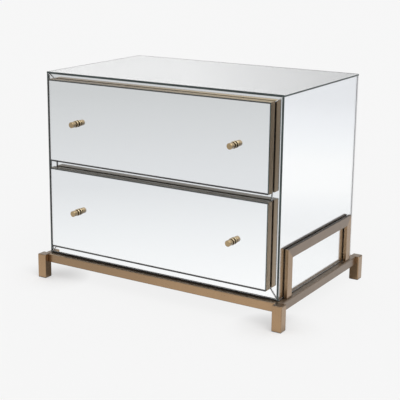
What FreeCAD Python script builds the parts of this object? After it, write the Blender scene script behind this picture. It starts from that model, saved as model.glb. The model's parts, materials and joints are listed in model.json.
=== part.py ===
import FreeCAD, Part
import math
import os
import re
import Sketcher

# Mirrored nightstand with two drawers on a bronze base.
# +Z is up and the drawers open along -Y. The origin is on the floor, midway between the sides and
# midway between the knob tips and the backs of the rear legs.

# Driving sizes in millimetres
sizes = {
    # Mirrored case, measured over the glass, from the base's top to the top of the top mirror
    "case_width": 714,
    "case_depth": 437,
    "case_height": 510,
    "mirror": 5,
    "side_lift": 1,
    "front_lift": 4,
    "side_board": 22,
    "top_board": 15,
    "bottom_board": 33,
    "back_panel": 5,
    "divider": 27,
    "divider_depth": 100,
    # Drawer fronts, which lie over the edges of their openings
    "front_overlap": 4,
    "front_gap": 2,
    "front_board": 19,
    "drawer_mirror": 5,
    "glass_inset": 0.3,
    "trim": 2.5,
    # Drawer boxes, with the room behind them, under them and over them
    "box_back_room": 20,
    "box_lift": 20,
    "box_head_room": 25,
    "box_wall": 12,
    "box_bottom": 6,
    "bottom_raise": 10,
    "groove_depth": 6,
    "groove_gap": 0.2,
    # Three-member drawer slides, with the room before and behind them in the case
    "slide_setback": 3,
    "slide_back_room": 24,
    "slide_height": 45,
    "slide_depth": 12.7,
    "slide_wall": 1.2,
    "slide_gap": 0.3,
    # Knobs, set in from the sides of the drawer front, and their screws
    "knob_inset": 95,
    "knob_projection": 22.5,
    "knob_head": 16,
    "knob_head_length": 14,
    "knob_edge": 1,
    "knob_neck": 10,
    "knob_flange": 18.4,
    "knob_flange_thickness": 4.5,
    "knob_screw": 4,
    "knob_screw_head": 8,
    "knob_screw_head_height": 2.6,
    "knob_screw_grip": 12,
    "screw_hole_gap": 0.3,
    "thread_gap": 0.05,
    # Base of square tube
    "base_height": 68,
    "leg_size": 27,
    "leg_wall": 2,
    "leg_side_reach": 24,
    "leg_front_reach": 29.5,
    "rail_width": 25,
    "rail_height": 24,
    "rail_wall": 2,
    "rail_reach": 14.5,
    "tab_size": 50,
    "tab_thickness": 3,
    "base_screw": 4.5,
    "base_screw_head": 9,
    "base_screw_head_height": 3,
    "base_screw_grip": 20,
    # Side brackets of flat bar
    "bracket_height": 127,
    "bracket_bar": 26,
    "bracket_thickness": 9.5,
    "bracket_inset": 28,
    # Plug-in glides under the legs
    "glide_rise": 1.5,
    "glide_inset": 1,
    "glide_plug": 12,
    "glide_plug_gap": 0.2,
}

# Places worked out from the driving sizes
half_width = "(case_width / 2)"
front_stack = "(front_board + drawer_mirror)"
front_proud = f"(front_gap + {front_stack})"
front = f"(({front_proud} + knob_projection - case_depth - leg_front_reach) / 2)"
back = f"({front} + case_depth)"
top = "(base_height + case_height)"
carcass_half = f"({half_width} - mirror)"
carcass_front = f"({front} + mirror)"
carcass_depth = "(case_depth - mirror - back_panel)"
carcass_top = f"({top} - mirror)"
inside_half = f"({carcass_half} - side_board)"
inside_top = f"({carcass_top} - top_board)"
lower_opening = "(base_height + bottom_board)"
opening_height = f"(({inside_top} - {lower_opening} - divider) / 2)"
upper_opening = f"({inside_top} - {opening_height})"
front_half = f"({inside_half} + front_overlap)"
box_half = f"({inside_half} - slide_depth)"
box_front = f"({front} - front_gap)"
box_depth = "(case_depth - back_panel + front_gap - box_back_room)"
box_height = f"({opening_height} - box_lift - box_head_room)"
slide_length = f"({carcass_depth} - slide_setback - slide_back_room)"
leg_outer = f"({half_width} + leg_side_reach)"
leg_inner = f"({leg_outer} - leg_size)"
rail_outer = f"({half_width} + rail_reach)"
rail_inner = f"({rail_outer} - rail_width)"
front_leg = f"({front} - leg_front_reach)"
rear_leg = f"({back} + leg_front_reach - leg_size)"
rail_bottom = "(base_height - rail_height)"

drawers = {"upper": upper_opening, "lower": lower_opening}
sides = {"left": -1, "right": 1}

doc = FreeCAD.newDocument("nightstand")
sheet = doc.addObject("Spreadsheet::Sheet", "Sizes")
for row, (alias, value) in enumerate(sizes.items(), 1):
    sheet.set(f"A{row}", alias)
    sheet.set(f"B{row}", str(value))
    sheet.setAlias(f"B{row}", alias)
doc.recompute()

nodes = []


def formula(text):
    # The name of a size becomes a reference to its cell
    def refer(word):
        return f"Sizes.{word.group()}" if word.group() in sizes else word.group()
    return re.sub(r"[a-z_]+", refer, text)


def bind(piece, name, text):
    piece.setExpression(name, formula(text))


def place(piece, corner):
    for axis, text in zip("xyz", corner):
        bind(piece, f"Placement.Base.{axis}", text)


def node(piece, label):
    piece.Label = label
    nodes.append(piece)
    return piece


def box(name, corner, size):
    solid = doc.addObject("Part::Box", name)
    for side, text in zip(("Length", "Width", "Height"), size):
        bind(solid, side, text)
    place(solid, corner)
    return solid


def rod(name, centre, diameter, length, along="z"):
    # A round bar that runs up from its centre, or back along +Y
    solid = doc.addObject("Part::Cylinder", name)
    if along == "y":
        solid.Placement = FreeCAD.Placement(FreeCAD.Vector(), FreeCAD.Rotation(FreeCAD.Vector(1, 0, 0), -90))
    bind(solid, "Radius", f"({diameter}) / 2")
    bind(solid, "Height", length)
    place(solid, centre)
    return solid


def cut(name, base, tool):
    result = doc.addObject("Part::Cut", name)
    result.Base = base
    result.Tool = tool
    return result


def fuse(name, pieces):
    result = doc.addObject("Part::MultiFuse", name)
    result.Shapes = pieces
    return result


def group(name, pieces):
    result = doc.addObject("Part::Compound", name)
    result.Links = pieces
    return result


def outline(body, name, role, corners):
    # A closed outline on one of the body's own planes, each corner held by two bound distances
    sketch = body.newObject("Sketcher::SketchObject", name)
    plane = next(item for item in body.Origin.OriginFeatures if item.Role == role)
    sketch.AttachmentSupport = (plane, [""])
    sketch.MapMode = "FlatFace"
    count = len(corners)
    starts = []
    for index in range(count):
        angle = 2 * math.pi * index / count
        starts.append(FreeCAD.Vector(math.cos(angle), math.sin(angle), 0))
    for index in range(count):
        sketch.addGeometry(Part.LineSegment(starts[index], starts[(index + 1) % count]))
    for index in range(count):
        sketch.addConstraint(Sketcher.Constraint("Coincident", index, 2, (index + 1) % count, 1))
    for index, corner in enumerate(corners):
        for kind, axis_line, start, text in zip(("DistanceX", "DistanceY"), (-2, -1), starts[index], corner):
            if text == "0":
                sketch.addConstraint(Sketcher.Constraint("PointOnObject", index, 1, axis_line))
            else:
                held = sketch.addConstraint(Sketcher.Constraint(kind, -1, 1, index, 1, start))
                bind(sketch, f"Constraints[{held}]", text)
    return sketch


def prism(name, role, corners, length, corner):
    body = doc.addObject("PartDesign::Body", name)
    pad = body.newObject("PartDesign::Pad", f"{name}_pad")
    pad.Profile = outline(body, f"{name}_outline", role, corners)
    bind(pad, "Length", length)
    place(body, corner)
    return body


def mitred_frame(name, outer, inner, depth, back_face):
    # Four upright strips round a rectangle, mitred at its corners, from low x, low z, high x, high z
    left, low, right, high = outer
    inner_left, inner_low, inner_right, inner_high = inner
    shapes = {
        "bottom": ((left, low), (right, low), (inner_right, inner_low), (inner_left, inner_low)),
        "top": ((inner_left, inner_high), (inner_right, inner_high), (right, high), (left, high)),
        "left": ((left, low), (inner_left, inner_low), (inner_left, inner_high), (left, high)),
        "right": ((right, low), (right, high), (inner_right, inner_high), (inner_right, inner_low)),
    }
    strips = {}
    for side, corners in shapes.items():
        strips[side] = prism(f"{name}_{side}_strip", "XZ_Plane", corners, depth, ("0", back_face, "0"))
    return strips


def side_start(sign, near, thickness):
    # Low x of a plate whose near face lies at that distance from the middle, outwards from it
    return near if sign > 0 else f"-({near}) - ({thickness})"


def build_carcass():
    board_height = f"{inside_top} - base_height"
    for side, sign in sides.items():
        low_x = side_start(sign, inside_half, "side_board")
        board = box(f"{side}_side_box", (low_x, carcass_front, "base_height"),
                    ("side_board", carcass_depth, board_height))
        node(board, f"case_{side}_side")
    top_size = (f"2 * {carcass_half}", carcass_depth, "top_board")
    node(box("top_box", (f"-{carcass_half}", carcass_front, inside_top), top_size), "case_top_board")
    bottom_size = (f"2 * {inside_half}", carcass_depth, "bottom_board")
    bottom = box("bottom_box", (f"-{inside_half}", carcass_front, "base_height"), bottom_size)
    pilots = []
    for name, centre in tab_centres().items():
        pilots.append(rod(f"{name}_pilot", (*centre, "base_height"), "base_screw + 2 * thread_gap",
                          "base_screw_grip + thread_gap"))
    node(cut("bottom_cut", bottom, group("bottom_pilots", pilots)), "case_bottom_board")
    panel_size = ("case_width", "back_panel", "case_height - mirror")
    node(box("panel_box", (f"-{half_width}", f"{back} - back_panel", "base_height"), panel_size),
         "case_back_panel")
    divider_size = (f"2 * {inside_half}", "divider_depth", "divider")
    divider_low = f"{upper_opening} - divider"
    node(box("divider_box", (f"-{inside_half}", carcass_front, divider_low), divider_size), "drawer_divider")


def build_mirrors():
    top_size = ("case_width", "case_depth", "mirror")
    node(box("top_glass", (f"-{half_width}", front, carcass_top), top_size), "top_mirror")
    side_size = ("mirror", "case_depth - back_panel", "case_height - mirror - side_lift")
    for side, sign in sides.items():
        low_x = side_start(sign, carcass_half, "mirror")
        glass = box(f"{side}_glass", (low_x, front, "base_height + side_lift"), side_size)
        node(glass, f"{side}_side_mirror")


def build_front_strips():
    outer = (f"-{carcass_half}", "base_height + front_lift", carcass_half, carcass_top)
    inner = (f"-{inside_half}", lower_opening, inside_half, inside_top)
    strips = mitred_frame("face", outer, inner, "mirror", carcass_front)
    for side, strip in strips.items():
        node(strip, f"front_strip_{side}")
    middle_size = (f"2 * {inside_half}", "mirror", "divider")
    middle = box("face_middle_strip", (f"-{inside_half}", front, f"{upper_opening} - divider"), middle_size)
    node(middle, "front_strip_middle")


def tab_corners():
    # Inner corners of the rail frame, where the screw tabs sit
    corners = {}
    for end in ("front", "rear"):
        low_y = f"{front} - rail_reach + rail_width"
        if end == "rear":
            low_y = f"{back} + rail_reach - rail_width - tab_size"
        for side, sign in sides.items():
            low_x = f"{rail_inner} - tab_size" if sign > 0 else f"-{rail_inner}"
            corners[f"{end}_{side}"] = (low_x, low_y)
    return corners


def tab_centres():
    return {name: (f"{x} + tab_size / 2", f"{y} + tab_size / 2") for name, (x, y) in tab_corners().items()}


def build_cross_rail(end, outer_y, leg_y, inner_y):
    # A tube between two legs, its ends mitred behind them to meet the side rails
    corners = ((f"-{leg_inner}", outer_y), (leg_inner, outer_y), (leg_inner, leg_y),
               (rail_inner, inner_y), (f"-{rail_inner}", inner_y), (f"-{leg_inner}", leg_y))
    bar = prism(f"{end}_rail_bar", "XY_Plane", corners, "rail_height", ("0", "0", rail_bottom))
    low_y = outer_y if end == "front" else inner_y
    bore = box(f"{end}_rail_bore", (f"-{leg_inner}", f"{low_y} + rail_wall", f"{rail_bottom} + rail_wall"),
               (f"2 * {leg_inner}", "rail_width - 2 * rail_wall", "rail_height - 2 * rail_wall"))
    pieces = [cut(f"{end}_rail_tube", bar, bore)]
    holes = []
    for name, (low_x, tab_y) in tab_corners().items():
        if name.startswith(end):
            pieces.append(box(f"{name}_tab", (low_x, tab_y, "base_height - tab_thickness"),
                              ("tab_size", "tab_size", "tab_thickness")))
            holes.append(rod(f"{name}_tab_hole", (*tab_centres()[name], "base_height - tab_thickness"),
                             "base_screw + 2 * screw_hole_gap", "tab_thickness"))
    rail = cut(f"{end}_rail", fuse(f"{end}_rail_weld", pieces), group(f"{end}_rail_holes", holes))
    node(rail, f"base_{end}_rail")


def build_side_rail(side, sign):
    flip = "" if sign > 0 else "-"
    front_end = f"{front_leg} + leg_size"
    corners = [(rail_outer, front_end), (rail_outer, rear_leg), (leg_inner, rear_leg),
               (rail_inner, f"{back} + rail_reach - rail_width"),
               (rail_inner, f"{front} - rail_reach + rail_width"), (leg_inner, front_end)]
    corners = [(f"{flip}{x}", y) for x, y in corners]
    bar = prism(f"{side}_rail_bar", "XY_Plane", corners, "rail_height", ("0", "0", rail_bottom))
    low_x = side_start(sign, f"{rail_inner} + rail_wall", "rail_width - 2 * rail_wall")
    bore = box(f"{side}_rail_bore", (low_x, front_end, f"{rail_bottom} + rail_wall"),
               ("rail_width - 2 * rail_wall", f"{rear_leg} - ({front_end})", "rail_height - 2 * rail_wall"))
    node(cut(f"{side}_rail", bar, bore), f"base_{side}_rail")


def build_leg(name, low_x, low_y):
    # Square tube with a closed top, and the glide plugged into its open foot
    leg_height = "base_height - glide_rise"
    bar = box(f"{name}_bar", (low_x, low_y, "glide_rise"), ("leg_size", "leg_size", leg_height))
    bore_size = "leg_size - 2 * leg_wall"
    bore = box(f"{name}_bore", (f"{low_x} + leg_wall", f"{low_y} + leg_wall", "glide_rise"),
               (bore_size, bore_size, f"{leg_height} - leg_wall"))
    node(cut(f"{name}_tube", bar, bore), f"{name}_leg")
    foot_size = "leg_size - 2 * glide_inset"
    foot = box(f"{name}_foot", (f"{low_x} + glide_inset", f"{low_y} + glide_inset", "0"),
               (foot_size, foot_size, "glide_rise"))
    plug_inset = "leg_wall + glide_plug_gap"
    plug_size = f"leg_size - 2 * ({plug_inset})"
    plug = box(f"{name}_plug", (f"{low_x} + {plug_inset}", f"{low_y} + {plug_inset}", "0"),
               (plug_size, plug_size, "glide_rise + glide_plug"))
    return fuse(f"{name}_glide", [foot, plug])


def build_base():
    build_cross_rail("front", f"{front} - rail_reach", f"{front_leg} + leg_size",
                     f"{front} - rail_reach + rail_width")
    build_cross_rail("rear", f"{back} + rail_reach", rear_leg, f"{back} + rail_reach - rail_width")
    glides = []
    for side, sign in sides.items():
        build_side_rail(side, sign)
        low_x = side_start(sign, leg_inner, "leg_size")
        glides.append(build_leg(f"front_{side}", low_x, front_leg))
        glides.append(build_leg(f"rear_{side}", low_x, rear_leg))
    node(group("glides", glides), "leg_glides")
    screws = []
    for name, centre in tab_centres().items():
        head_low = "base_height - tab_thickness - base_screw_head_height"
        head = rod(f"{name}_screw_head", (*centre, head_low), "base_screw_head", "base_screw_head_height")
        shank = rod(f"{name}_screw_shank", (*centre, head_low), "base_screw",
                    "base_screw_head_height + tab_thickness + base_screw_grip")
        screws.append(fuse(f"{name}_screw", [head, shank]))
    node(group("case_screws", screws), "base_screws")


def build_brackets():
    # Two uprights and a top bar on each side rail, flat against the side mirror
    near, far = f"{front} + bracket_inset", f"{back} - bracket_inset"
    near_in, far_in = f"{near} + bracket_bar", f"{far} - bracket_bar"
    low, high = "base_height", "base_height + bracket_height"
    high_in = f"{high} - bracket_bar"
    shapes = {
        "front_upright": ((near, low), (near_in, low), (near_in, high_in), (near, high)),
        "top_bar": ((near, high), (near_in, high_in), (far_in, high_in), (far, high)),
        "rear_upright": ((far, low), (far, high), (far_in, high_in), (far_in, low)),
    }
    for side, sign in sides.items():
        low_x = side_start(sign, half_width, "bracket_thickness")
        bars = []
        for name, corners in shapes.items():
            bars.append(prism(f"{side}_{name}", "YZ_Plane", corners, "bracket_thickness", (low_x, "0", "0")))
        node(group(f"{side}_bracket", bars), f"{side}_side_bracket")


def channel(name, sign, near, far, low_y, mid_z, height, web):
    # A flanged channel between two distances from the case side, its web on the case or drawer side
    wall_x = f"({inside_half} - ({far}))"
    width = f"({far}) - ({near})"
    low_x = side_start(sign, wall_x, width)
    bar = box(f"{name}_bar", (low_x, low_y, f"{mid_z} - ({height}) / 2"), (width, slide_length, height))
    hollow_near = f"({wall_x} + slide_wall)" if web == "drawer" else wall_x
    hollow_x = side_start(sign, hollow_near, f"{width} - slide_wall")
    hollow_height = f"{height} - 2 * slide_wall"
    hollow = box(f"{name}_hollow", (hollow_x, low_y, f"{mid_z} - ({hollow_height}) / 2"),
                 (f"{width} - slide_wall", slide_length, hollow_height))
    return cut(f"{name}_channel", bar, hollow)


def build_slides(drawer, opening):
    # Outer member on the case, middle member inside it, and inner member on the drawer inside that
    step = "(slide_wall + slide_gap)"
    lip = f"slide_depth - {step}"
    low_y = f"{carcass_front} + slide_setback"
    mid_z = f"({opening} + box_lift + {box_height} / 2)"
    members = {
        "outer": ("0", lip, "slide_height", "case"),
        "middle": (step, lip, f"slide_height - 2 * {step}", "case"),
        "inner": (f"2 * {step}", "slide_depth", f"slide_height - 4 * {step}", "drawer"),
    }
    for side, sign in sides.items():
        for member, (near, far, height, web) in members.items():
            name = f"{drawer}_{side}_slide_{member}"
            node(channel(f"{name}_member", sign, near, far, low_y, mid_z, height, web), name)


def build_front(drawer, opening, holes):
    # Mirror over a board that has mitred edging round its sides
    low, high = f"({opening} - front_overlap)", f"({opening} + {opening_height} + front_overlap)"
    outer = (f"-{front_half}", low, front_half, high)
    inner = (f"-{front_half} + trim", f"{low} + trim", f"{front_half} - trim", f"{high} - trim")
    strips = mitred_frame(f"{drawer}_trim", outer, inner, "front_board", box_front)
    node(group(f"{drawer}_edging", list(strips.values())), f"{drawer}_front_trim")
    board = box(f"{drawer}_board", (f"-{front_half} + trim", f"{box_front} - front_board", f"{low} + trim"),
                (f"2 * ({front_half} - trim)", "front_board", f"{high} - {low} - 2 * trim"))
    node(cut(f"{drawer}_board_cut", board, holes), f"{drawer}_front_board")
    glass = box(f"{drawer}_glass",
                (f"-{front_half} + glass_inset", f"{box_front} - {front_stack}", f"{low} + glass_inset"),
                (f"2 * ({front_half} - glass_inset)", "drawer_mirror", f"{high} - {low} - 2 * glass_inset"))
    node(cut(f"{drawer}_glass_cut", glass, holes), f"{drawer}_front_mirror")


def build_box(drawer, opening, holes):
    # Four boards round a bottom panel that lies in their grooves
    low = f"({opening} + box_lift)"
    inner_half = f"({box_half} - box_wall)"
    panel_half = f"({inner_half} + groove_depth)"
    panel_y = f"({box_front} + box_wall - groove_depth)"
    panel_depth = f"({box_depth} - 2 * box_wall + 2 * groove_depth)"
    panel_z = f"({low} + bottom_raise)"
    panel = box(f"{drawer}_panel", (f"-{panel_half}", panel_y, panel_z),
                (f"2 * {panel_half}", panel_depth, "box_bottom"))
    node(panel, f"{drawer}_box_bottom")
    groove = box(f"{drawer}_groove",
                 (f"-{panel_half} - groove_gap", f"{panel_y} - groove_gap", f"{panel_z} - groove_gap"),
                 (f"2 * ({panel_half} + groove_gap)", f"{panel_depth} + 2 * groove_gap",
                  "box_bottom + 2 * groove_gap"))
    for side, sign in sides.items():
        low_x = side_start(sign, inner_half, "box_wall")
        board = box(f"{drawer}_{side}_wall", (low_x, box_front, low), ("box_wall", box_depth, box_height))
        node(cut(f"{drawer}_{side}_wall_cut", board, groove), f"{drawer}_box_{side}")
    cross_size = (f"2 * {inner_half}", "box_wall", box_height)
    rear_y = f"{box_front} + {box_depth} - box_wall"
    rear = box(f"{drawer}_rear_wall", (f"-{inner_half}", rear_y, low), cross_size)
    node(cut(f"{drawer}_rear_wall_cut", rear, groove), f"{drawer}_box_back")
    near = box(f"{drawer}_near_wall", (f"-{inner_half}", box_front, low), cross_size)
    near_cut = cut(f"{drawer}_near_wall_cut", near, groove)
    node(cut(f"{drawer}_near_wall_drilled", near_cut, holes), f"{drawer}_box_front")


def build_knob(drawer, side, centre_x, centre_z):
    # Turned knob: flange on the mirror, neck, and a flat-faced round head, with a blind screw hole
    hole = "(knob_screw / 2 + thread_gap)"
    hole_end = "-(knob_screw_grip + thread_gap)"
    head_low = "-(knob_projection - knob_head_length)"
    profile = ((hole, "0"), ("knob_flange / 2", "0"), ("knob_flange / 2", "-knob_flange_thickness"),
               ("knob_neck / 2", "-knob_flange_thickness"), ("knob_neck / 2", head_low),
               ("knob_head / 2 - knob_edge", head_low), ("knob_head / 2", f"{head_low} - knob_edge"),
               ("knob_head / 2", "-knob_projection + knob_edge"),
               ("knob_head / 2 - knob_edge", "-knob_projection"),
               ("0", "-knob_projection"), ("0", hole_end), (hole, hole_end))
    name = f"{drawer}_{side}_knob"
    body = doc.addObject("PartDesign::Body", f"{name}_body")
    turning = body.newObject("PartDesign::Revolution", f"{name}_turning")
    sketch = outline(body, f"{name}_profile", "XY_Plane", profile)
    turning.Profile = sketch
    turning.ReferenceAxis = (sketch, ["V_Axis"])
    turning.Angle = 360
    place(body, (centre_x, f"{front} - {front_proud}", centre_z))
    node(body, name)


def build_drawer(drawer, opening):
    middle_z = f"({opening} + {opening_height} / 2)"
    glass_face = f"({front} - {front_proud})"
    holes = []
    screws = []
    for side, sign in sides.items():
        centre_x = f"({front_half} - knob_inset)" if sign > 0 else f"-({front_half} - knob_inset)"
        build_knob(drawer, side, centre_x, middle_z)
        through = f"({front_stack} + box_wall)"
        holes.append(rod(f"{drawer}_{side}_hole", (centre_x, glass_face, middle_z),
                         "knob_screw + 2 * screw_hole_gap", through, "y"))
        shank = rod(f"{drawer}_{side}_shank", (centre_x, f"{glass_face} - knob_screw_grip", middle_z),
                    "knob_screw", f"knob_screw_grip + {through} + knob_screw_head_height", "y")
        head = rod(f"{drawer}_{side}_screw_head", (centre_x, f"{glass_face} + {through}", middle_z),
                   "knob_screw_head", "knob_screw_head_height", "y")
        screws.append(fuse(f"{drawer}_{side}_screw", [shank, head]))
    drilled = group(f"{drawer}_holes", holes)
    build_front(drawer, opening, drilled)
    build_box(drawer, opening, drilled)
    node(group(f"{drawer}_screws", screws), f"{drawer}_knob_screws")


build_carcass()
build_mirrors()
build_front_strips()
build_base()
build_brackets()
for drawer, opening in drawers.items():
    build_slides(drawer, opening)
    build_drawer(drawer, opening)
doc.recompute()

failed = [item.Name for item in doc.Objects if {"Invalid", "Error"} & set(item.State)]
if failed:
    raise RuntimeError(f"objects that failed: {failed}")
for piece in nodes:
    if piece.Shape.isNull() or not piece.Shape.isValid() or not piece.Shape.Solids:
        raise RuntimeError(f"bad shape: {piece.Label}")

os.makedirs("parts", exist_ok=True)
for piece in nodes:
    piece.Shape.exportStep(f"parts/{piece.Label}.step")
print(len(nodes), "pieces written")
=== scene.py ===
import bmesh
import bpy
import json
import math
from mathutils import Euler, Matrix, Vector


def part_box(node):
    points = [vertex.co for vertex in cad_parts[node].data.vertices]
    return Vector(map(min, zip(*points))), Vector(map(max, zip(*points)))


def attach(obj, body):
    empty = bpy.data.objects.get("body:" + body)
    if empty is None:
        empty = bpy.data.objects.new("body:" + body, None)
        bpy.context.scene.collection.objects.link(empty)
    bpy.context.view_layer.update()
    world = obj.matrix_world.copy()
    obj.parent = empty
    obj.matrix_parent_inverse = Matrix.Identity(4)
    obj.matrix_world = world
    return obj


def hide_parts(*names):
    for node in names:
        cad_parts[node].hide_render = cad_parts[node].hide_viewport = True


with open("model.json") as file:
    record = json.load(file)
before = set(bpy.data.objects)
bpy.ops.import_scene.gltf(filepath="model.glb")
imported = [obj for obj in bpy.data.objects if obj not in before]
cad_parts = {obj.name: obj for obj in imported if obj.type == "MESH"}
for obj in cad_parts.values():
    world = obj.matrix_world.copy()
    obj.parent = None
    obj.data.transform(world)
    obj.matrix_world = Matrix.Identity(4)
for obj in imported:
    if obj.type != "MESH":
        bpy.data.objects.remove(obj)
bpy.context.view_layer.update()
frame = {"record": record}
bodyOf = {node: body for body, nodes in frame["record"]["behaviour"]["bodies"].items() for node in nodes}
sides = {"left": -1, "right": 1}
mm = 0.001
touching = 1e-6  # metres within which two places are one
squarely, nearly, mainly, partly = 0.99, 0.9, 0.7, 0.3  # how far a normal turns towards a direction


# Picking and finishing by hand

softEdge = {"segments": 2, "angle": 40, "flatness": 100}


def deselectAll():
    if bpy.context.object and bpy.context.object.mode != "OBJECT":
        bpy.ops.object.mode_set(mode="OBJECT")
    bpy.ops.object.select_all(action="DESELECT")


def activate(obj):
    deselectAll()
    obj.select_set(True)
    bpy.context.view_layer.objects.active = obj


def editAll(obj):  # in edit mode, with the whole mesh selected
    activate(obj)
    bpy.ops.object.mode_set(mode="EDIT")
    bpy.ops.mesh.select_all(action="SELECT")


def pick(obj, kind, test):  # kind is VERT, EDGE or FACE, and the piece stays in edit mode
    activate(obj)
    bpy.ops.object.mode_set(mode="EDIT")
    bpy.ops.mesh.select_mode(type=kind)
    bpy.ops.mesh.select_all(action="DESELECT")
    mesh = bmesh.from_edit_mesh(obj.data)
    for item in {"VERT": mesh.verts, "EDGE": mesh.edges, "FACE": mesh.faces}[kind]:
        if test(item):
            item.select_set(True)
    mesh.select_flush_mode()
    bmesh.update_edit_mesh(obj.data)


def bevelEdges(obj, test, width, segments):
    pick(obj, "EDGE", test)
    bpy.ops.mesh.bevel(offset=width, segments=segments, affect="EDGES")
    bpy.ops.object.mode_set(mode="OBJECT")


def insetFaces(obj, test, width):  # the inner faces stay selected, in edit mode
    pick(obj, "FACE", test)
    bpy.ops.mesh.inset(thickness=width)


def extrudeBy(push):
    bpy.ops.mesh.extrude_region_move(TRANSFORM_OT_translate={"value": push})


def closeMesh(obj):  # doubles merged, faces outwards
    editAll(obj)
    bpy.ops.mesh.remove_doubles(threshold=touching)
    bpy.ops.mesh.normals_make_consistent(inside=False)
    bpy.ops.object.mode_set(mode="OBJECT")


def rename(obj, name):
    obj.name = name
    obj.data.name = name
    return obj


def namePiece(name):  # the primitive that was just added, with its place moved into its mesh
    bpy.ops.object.transform_apply(location=True, rotation=True, scale=True)
    return rename(bpy.context.object, name)


def addBlock(name, low, high):
    deselectAll()
    low, high = Vector(low), Vector(high)
    bpy.ops.mesh.primitive_cube_add(size=1, location=(low + high) / 2)
    bpy.context.object.scale = high - low
    return namePiece(name)


def addPlate(name, outline, push):  # a flat outline of points in space, extruded into a plate
    deselectAll()
    bpy.ops.mesh.primitive_circle_add(vertices=len(outline), fill_type="NGON")
    obj = namePiece(name)
    for vertex, point in zip(obj.data.vertices, outline):
        vertex.co = point
    editAll(obj)
    extrudeBy(push)
    closeMesh(obj)
    return obj


def turnPiece(name, centre, out, profile, around):
    # Rings of (radius, reach) worked outwards from the first, along the direction out
    deselectAll()
    out = Vector(out)
    turn = out.to_track_quat("Z", "Y").to_euler()
    (radius, reach), *rest = profile
    bpy.ops.mesh.primitive_circle_add(vertices=around, radius=radius, fill_type="NGON",
                                      location=Vector(centre) + out * reach, rotation=turn)
    obj = namePiece(name)
    editAll(obj)
    for nextRadius, nextReach in rest:
        extrudeBy(out * (nextReach - reach))
        ringMiddle = Vector(centre) + out * nextReach
        ratio = nextRadius / radius
        bpy.ops.transform.resize(value=(ratio, ratio, ratio), center_override=ringMiddle)
        radius, reach = nextRadius, nextReach
    closeMesh(obj)
    return obj


def applyModifier(obj, kind, **settings):
    activate(obj)
    modifier = obj.modifiers.new(kind.lower(), kind)
    for key, value in settings.items():
        setattr(modifier, key, value)
    bpy.ops.object.modifier_apply(modifier=modifier.name)


def roundEdges(obj, width, segments=softEdge["segments"], angle=softEdge["angle"]):
    # Edges that turn by more than the angle are rounded, and the flat faces keep their shading
    applyModifier(obj, "BEVEL", width=width, segments=segments, limit_method="ANGLE",
                  angle_limit=math.radians(angle))
    bpy.ops.object.shade_smooth()
    applyModifier(obj, "WEIGHTED_NORMAL", weight=softEdge["flatness"], keep_sharp=True)


def cutOut(obj, cutter):
    applyModifier(obj, "BOOLEAN", operation="DIFFERENCE", solver="EXACT", object=cutter)
    bpy.data.objects.remove(cutter)


def joinPieces(name, parts):
    activate(parts[0])
    for part in parts:
        part.select_set(True)
    bpy.ops.object.join()
    return rename(parts[0], name)


def copyPiece(obj, name, move):
    twin = obj.copy()
    twin.data = obj.data.copy()
    twin.name = name
    bpy.context.scene.collection.objects.link(twin)
    twin.data.transform(Matrix.Translation(Vector(move)))
    return twin


def repeatPiece(name, obj, places):  # copied from the first place to all the others, and joined
    copies = [copyPiece(obj, "copy", Vector(place) - Vector(places[0])) for place in places[1:]]
    return joinPieces(name, [obj, *copies])


def paint(obj, *materials):
    for material in materials:
        obj.data.materials.append(material)


def paintFaces(obj, finishes, choose):  # finishes by name, of which choose names one for each face
    paint(obj, *finishes.values())
    names = list(finishes)
    for face in obj.data.polygons:
        face.material_index = names.index(choose(face))


def finishPiece(obj, slot, *nodes):
    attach(obj, bodyOf[nodes[0]])
    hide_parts(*nodes)


def finishCopies(obj, slot, node, others):
    # A piece modelled at one node is finished there and copied to the place of each other node
    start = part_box(node)[0]
    for name, place in others.items():
        finishPiece(copyPiece(obj, name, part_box(place)[0] - start), slot, place)
    finishPiece(obj, slot, node)


def middleOf(node):
    low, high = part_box(node)
    return (low + high) / 2


# Shader nodes

def feed(tree, socket, value):  # by a link from another node's socket, or as a plain value
    if isinstance(value, bpy.types.NodeSocket):
        tree.links.new(value, socket)
    else:
        socket.default_value = (*value, 1) if socket.type == "RGBA" else value


def addNode(tree, kind, values=None, **settings):
    node = tree.nodes.new(kind)
    for key, value in settings.items():
        setattr(node, key, value)
    for key, value in (values or {}).items():
        feed(tree, node.inputs[key], value)
    return node


def mapped(tree, value, low, high, toLow=0.0, toHigh=1.0):
    values = {"Value": value, "From Min": low, "From Max": high, "To Min": toLow, "To Max": toHigh}
    return addNode(tree, "ShaderNodeMapRange", values).outputs["Result"]


def combined(tree, operation, first, second):
    return addNode(tree, "ShaderNodeMath", {0: first, 1: second}, operation=operation).outputs[0]


def weighted(tree, first, second, share):  # a share of the first, and the rest of the second
    return combined(tree, "ADD", combined(tree, "MULTIPLY", first, share),
                    combined(tree, "MULTIPLY", second, 1 - share))


def blended(tree, factor, first, second):  # sockets 6 and 7 are the colours, and output 2 is theirs
    return addNode(tree, "ShaderNodeMix", {0: factor, 6: first, 7: second}, data_type="RGBA").outputs[2]


def vectorStep(tree, operation, first, second=None):
    values = {0: first}
    if second is not None:
        values["Scale" if operation == "SCALE" else 1] = second
    node = addNode(tree, "ShaderNodeVectorMath", values, operation=operation)
    return node.outputs["Value" if operation in ("DOT_PRODUCT", "LENGTH", "DISTANCE") else "Vector"]


def stretchedNoise(tree, vector, stretch, scale, detail, distortion=0.0):
    stretched = vectorStep(tree, "MULTIPLY", vector, stretch)
    values = {"Vector": stretched, "Scale": scale, "Detail": detail, "Distortion": distortion}
    return addNode(tree, "ShaderNodeTexNoise", values).outputs["Fac"]


# Finishes: each group takes and gives the same sockets, and its noises are scale, detail and distortion

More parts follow.
